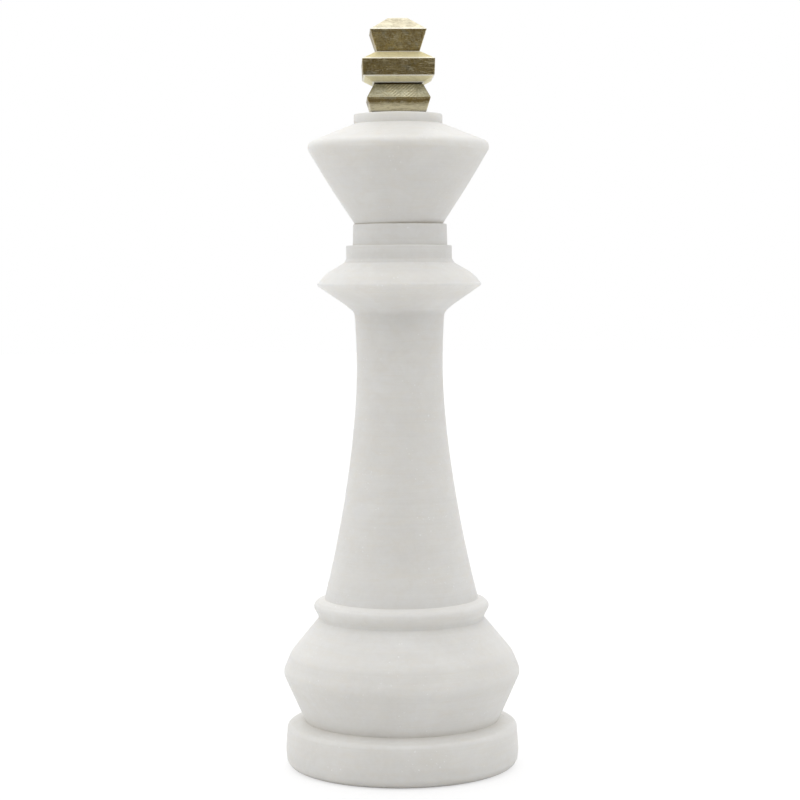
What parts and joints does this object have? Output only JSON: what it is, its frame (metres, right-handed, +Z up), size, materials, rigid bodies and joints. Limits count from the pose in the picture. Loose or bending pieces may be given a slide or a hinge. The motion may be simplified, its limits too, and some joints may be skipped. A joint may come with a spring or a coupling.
{
  "type": "ornamental chess king",
  "caption": "Tall turned white stone chess king on a round base, its stacked stones held by a central rod, with a square metal finial that unscrews.",
  "frame": {"origin": "centre of the resting face, on the piece's turning axis", "axes": "+Z up along the turning axis; X and Y square to the finial's sides, with the finial's front face towards -Y"},
  "size_m": [0.1292, 0.1292, 0.4064],
  "materials": {
    "white_marble": "honed, fine-grained white marble",
    "finial_brass": "brushed, lightly tarnished",
    "zinc_steel": "zinc plated",
    "sleeve_metal": "as drawn",
    "stone_adhesive": "cured resin",
    "rubber": "matt",
    "fibre": "vulcanised fibre",
    "felt": "wool felt"
  },
  "bodies": {
    "stack": {"base_pad": "felt", "base_disc": "white_marble", "lower_body": "white_marble", "column": "white_marble", "neck_ring": "white_marble", "head": "white_marble", "locating_sleeves": "sleeve_metal", "bond_rings": "stone_adhesive", "tie_rod": "zinc_steel", "base_nut": "zinc_steel", "spring_washer": "zinc_steel", "base_washer": "zinc_steel", "rubber_washer": "rubber", "top_washer": "zinc_steel", "top_nut": "zinc_steel"},
    "turning_washer": {"finial_washer": "fibre"},
    "finial": {"finial_core": "finial_brass", "finial_foot": "finial_brass", "finial_slab": "finial_brass", "finial_cap": "finial_brass"}
  },
  "joints": [
    {"name": "finial_turn", "type": "hinge", "parent": "stack", "child": "turning_washer", "pos_m": [0, 0, 0.355], "axis": [0, 0, 1], "range_deg": [0, 2881]},
    {"name": "finial_lift", "type": "slide", "parent": "turning_washer", "child": "finial", "axis": [0, 0, 1], "range_m": [0, 0.01]}
  ],
  "couplings": [
    {"joint": "finial_turn", "follows": "finial_lift", "rad_per_m": 5026.5}
  ]
}
